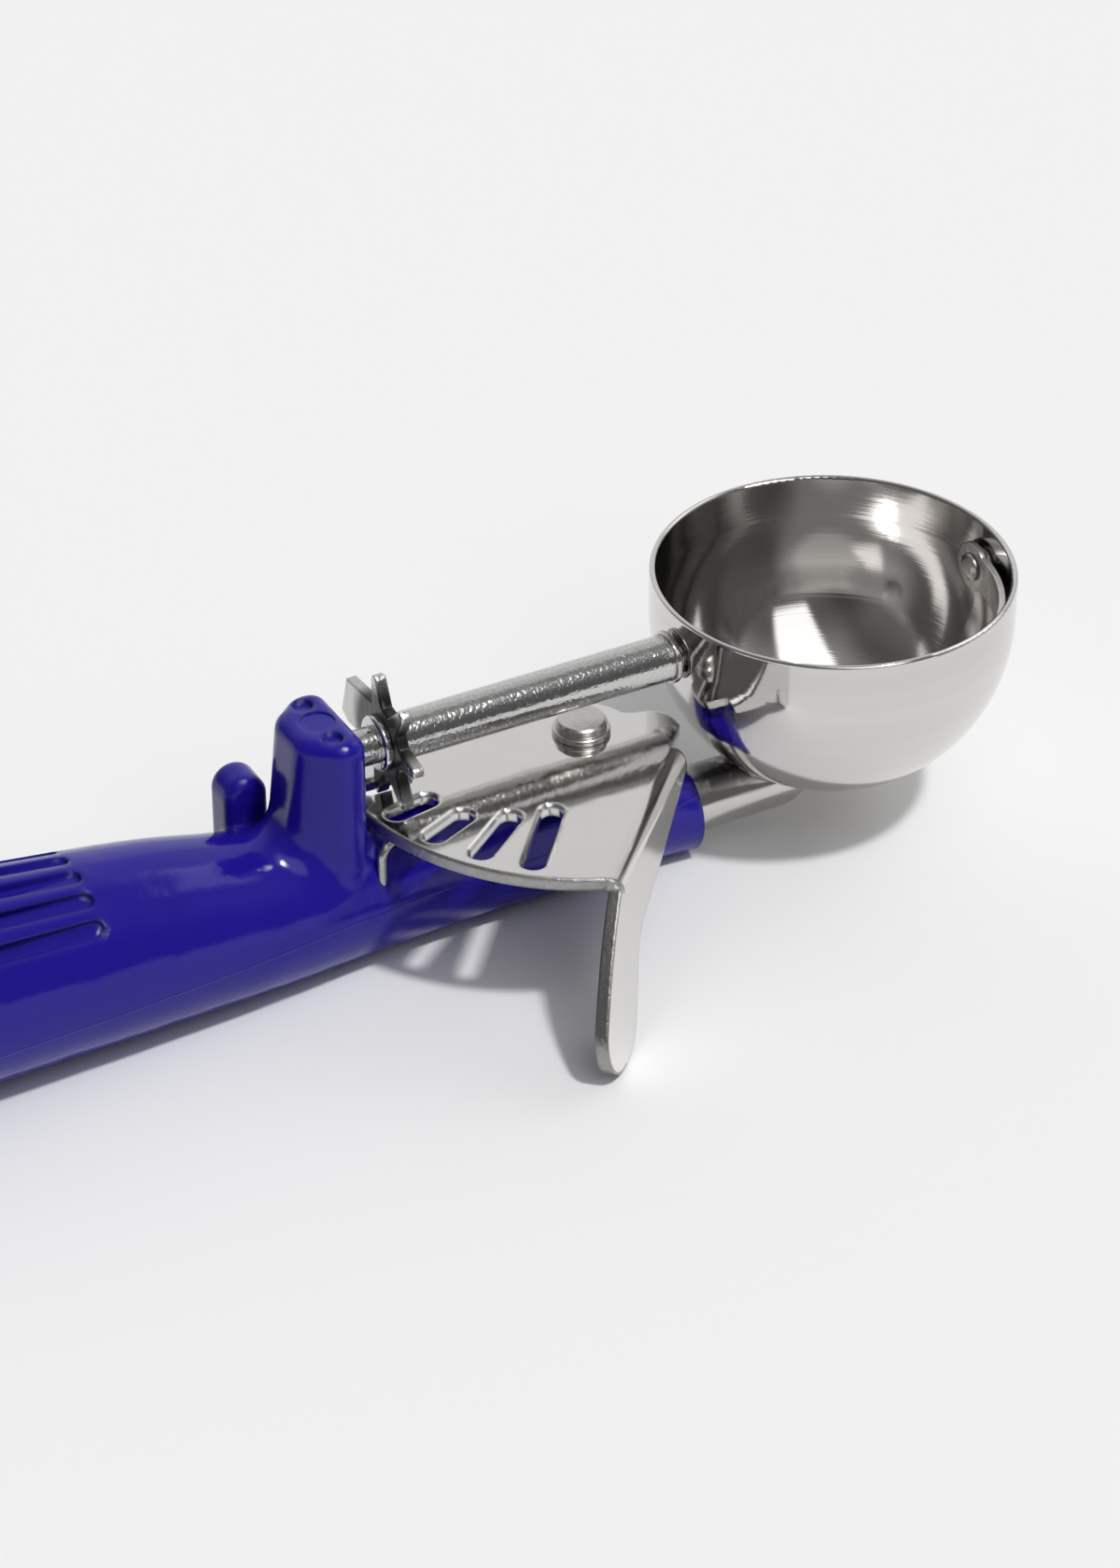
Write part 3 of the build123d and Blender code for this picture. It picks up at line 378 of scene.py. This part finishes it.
def coil_line(angle):
    """Points of the coil: a circle about the rivet that falls by the pitch in each turn."""
    return np.stack([COIL_R * np.cos(angle), COIL_R * np.sin(angle),
                     COIL_TOP - COIL_PITCH * (COIL_START - angle) / (2 * math.pi)], axis=-1)


def straight(first, last, count):
    """Points at even steps from one point to another, without the first."""
    return first + np.linspace(0, 1, count)[1:, None] * (last - first)


turns = coil_line(np.linspace(COIL_START, COIL_END, 240))
knee = np.array([LEG_RADIUS * math.cos(LEG_TURN), LEG_RADIUS * math.sin(LEG_TURN), COIL_TOP - LEG_BEND])
way = turns[0] - knee - LEG_BEND * UP
way /= np.linalg.norm(way)
foot = knee * (1, 1, 0) + np.linspace(LEG_FOOT, knee[2], 8)[:, None] * UP
bend = np.linspace(0, math.pi / 2, 13)[1:, None]
bend = knee + LEG_BEND * ((1 - np.cos(bend)) * way + np.sin(bend) * UP)
fixed_leg = np.concatenate([foot, bend, straight(bend[-1], turns[0], 12)])
free_end = turns[-1] + FREE_LEG * np.array([math.sin(COIL_END), -math.cos(COIL_END), 0.0])
winding = np.concatenate([turns, straight(turns[-1], free_end, 14)])
spring_leg = closed_bar("spring_leg", round_bar(fixed_leg, np.cross(way, UP), WIRE_R, WIRE_SIDES))
spring_coil = closed_bar("spring_coil", round_bar(winding, UP, WIRE_R, WIRE_SIDES))
wire, shader, at = finish("spring_wire", (0.46, 0.45, 0.44), Metallic=1.0)
drawn = at.grain(900, 3, 0.6)
feed(shader,
     Base_Color=drawn.blend(WIRE_GREY, WIRE_BRIGHT),
     Roughness=0.20 + 0.15 * drawn,
     relief=(drawn, WIRE_DEPTH),
     edge=WIRE_EDGE)
for piece in (spring_leg, spring_coil):
    piece.data.materials.append(wire)
    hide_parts("return_spring")
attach(spring_leg, "frame")
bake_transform(spring_coil)

# Weld: a low, uneven bead of steel melted on along the saddle curve where the tube meets the bowl. It
# runs over the tube's top and sides and stays rough and grey with scale.
BEAD_R, BEAD_SIDES, BEAD_REACH = 0.00080, 12, 0.0115
BEAD_DEPTH, BEAD_EDGE = 0.0002, 0.0002
WELD_DARK, WELD_BRIGHT = (0.20, 0.19, 0.18), (0.50, 0.49, 0.47)


def saddle_line(angle):
    """Points where the shank cylinder meets the bowl sphere, by the angle round the shank."""
    y = SHANK_R * np.cos(angle)
    z = SHANK_Z + SHANK_R * np.sin(angle)
    return np.stack([BOWL_X - np.sqrt(BOWL_R**2 - y**2 - (z - BOWL_Z)**2), y, z], axis=-1)


low_angle = math.asin((BOWL_Z - math.sqrt(BOWL_R**2 - BEAD_REACH**2) - SHANK_Z) / SHANK_R)
angle = np.linspace(low_angle, math.pi - low_angle, 64)
swell = BEAD_R * (1 + 0.18 * np.sin(9 * angle) + 0.10 * np.sin(23 * angle + 1.0))
saddle = saddle_line(angle)
bead_rings = round_bar(saddle, saddle - np.array([BOWL_X, 0, BOWL_Z]), swell, BEAD_SIDES)
weld_bead = closed_bar("weld_bead", bead_rings)
weld, shader, at = finish("weld_steel", (0.34, 0.33, 0.32), Metallic=1.0)
scale_marks = at.grain(1200, 4)
feed(shader,
     Base_Color=scale_marks.blend(WELD_DARK, WELD_BRIGHT),
     Roughness=0.28 + 0.25 * scale_marks,
     relief=(scale_marks, BEAD_DEPTH),
     edge=BEAD_EDGE)
weld_bead.data.materials.append(weld)
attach(weld_bead, "frame")

# Floor: a pale matt paper sweep, laid flat under the scoop and far past the picture's edges. It belongs
# to the stage, not to the object.
FLOOR_SIZE = 6
bpy.ops.mesh.primitive_plane_add(size=FLOOR_SIZE, location=(0, 0, 0))
floor = bpy.context.object
floor.name = "floor"
paper = finish("pale_sweep", (0.86, 0.86, 0.86), Roughness=0.9, Specular_IOR_Level=0.1)[0]
floor.data.materials.append(paper)

# Light: a small strong lamp high on the camera's side for the crisp shadows, and a pale room that is
# darker overhead, on the left and behind the camera. Two boxes of light with straight edges, one toward
# the camera and one on the right, give the polished steel something to show.
LAMP_ENERGY, LAMP_ANGLE, LAMP_TRAVEL = 1.75, math.radians(5.0), (-0.17, 0.43, -0.89)
ROOM_LOW, ROOM_HIGH, OVERHEAD = 0.50, 0.30, (0.45, 0.85)
BEHIND, BEHIND_DARK, LEFT, LEFT_DARK = (0.30, 0.80), 0.75, (0.30, 0.65), 0.70
WALL_TOWARD, WALL, WALL_GLOW = (0.35, 0.75, 0.57), (0.76, 0.90), 0.30
ALOFT = (0.20, 0.30)
SOFT_LEFT, SOFT_SLANT, SOFT_RIGHT = (-0.28, -0.22), 0.09, (0.32, 0.42)
SOFT_DEEP, SOFT_GLOW = (-2.0, -1.7, -0.30, -0.15), 1.4
SIDE_WIDE, SIDE_DEEP, SIDE_GLOW = (0.65, 0.75, 1.90, 2.10), (-0.25, -0.10, 0.45, 0.60), 1.2
sun = bpy.data.lights.new("key", "SUN")
sun.energy = LAMP_ENERGY
sun.angle = LAMP_ANGLE
lamp = bpy.data.objects.new("key", sun)
lamp.rotation_euler = Vector(LAMP_TRAVEL).to_track_quat("-Z", "Y").to_euler()
bpy.context.collection.objects.link(lamp)
world = bpy.data.worlds.new("room")
bpy.context.scene.world = world
world.use_nodes = True
tree = world.node_tree
back = tree.nodes["Background"]
look = Field(tree, tree.nodes.new("ShaderNodeTexCoord").outputs["Generated"])
x, y, z = look.parts()
room = z.band(*OVERHEAD, ROOM_LOW, ROOM_HIGH)
room = room * (1 - BEHIND_DARK * (-y).band(*BEHIND)) * (1 - LEFT_DARK * (-x).band(*LEFT))
room = room + WALL_GLOW * look.toward(WALL_TOWARD).band(*WALL)
over_x = x.math("DIVIDE", z)
over_y = y.math("DIVIDE", z)
soft_box = (over_x - SOFT_SLANT * over_y).band(*SOFT_LEFT) * (1 - over_x.band(*SOFT_RIGHT))
soft_box = soft_box * over_y.span(*SOFT_DEEP)
side_box = over_x.span(*SIDE_WIDE) * over_y.span(*SIDE_DEEP)
room = room + z.band(*ALOFT) * (SOFT_GLOW * soft_box + SIDE_GLOW * side_box)
tree.links.new(room.socket, back.inputs["Color"])
back.inputs["Strength"].default_value = 1.0

# Camera: at the photograph's place and angle, fitted to the bowl's rim, the shaft and the lever plate.
# It has no shift and no depth of field.
VIEW_LENS, VIEW_SENSOR, VIEW_NEAR = 107.3, 36.0, 0.05
VIEW_PLACE, VIEW_TURN = (-0.2892, -0.5180, 0.4225), (55.629, -0.226, -28.711)
view = bpy.data.cameras.new("view")
view.lens = VIEW_LENS
view.sensor_width = VIEW_SENSOR
view.clip_start = VIEW_NEAR
eye = bpy.data.objects.new("view", view)
eye.location = VIEW_PLACE
eye.rotation_euler = [math.radians(turn) for turn in VIEW_TURN]
bpy.context.collection.objects.link(eye)
bpy.context.scene.camera = eye
bpy.context.scene.view_settings.view_transform = "Standard"
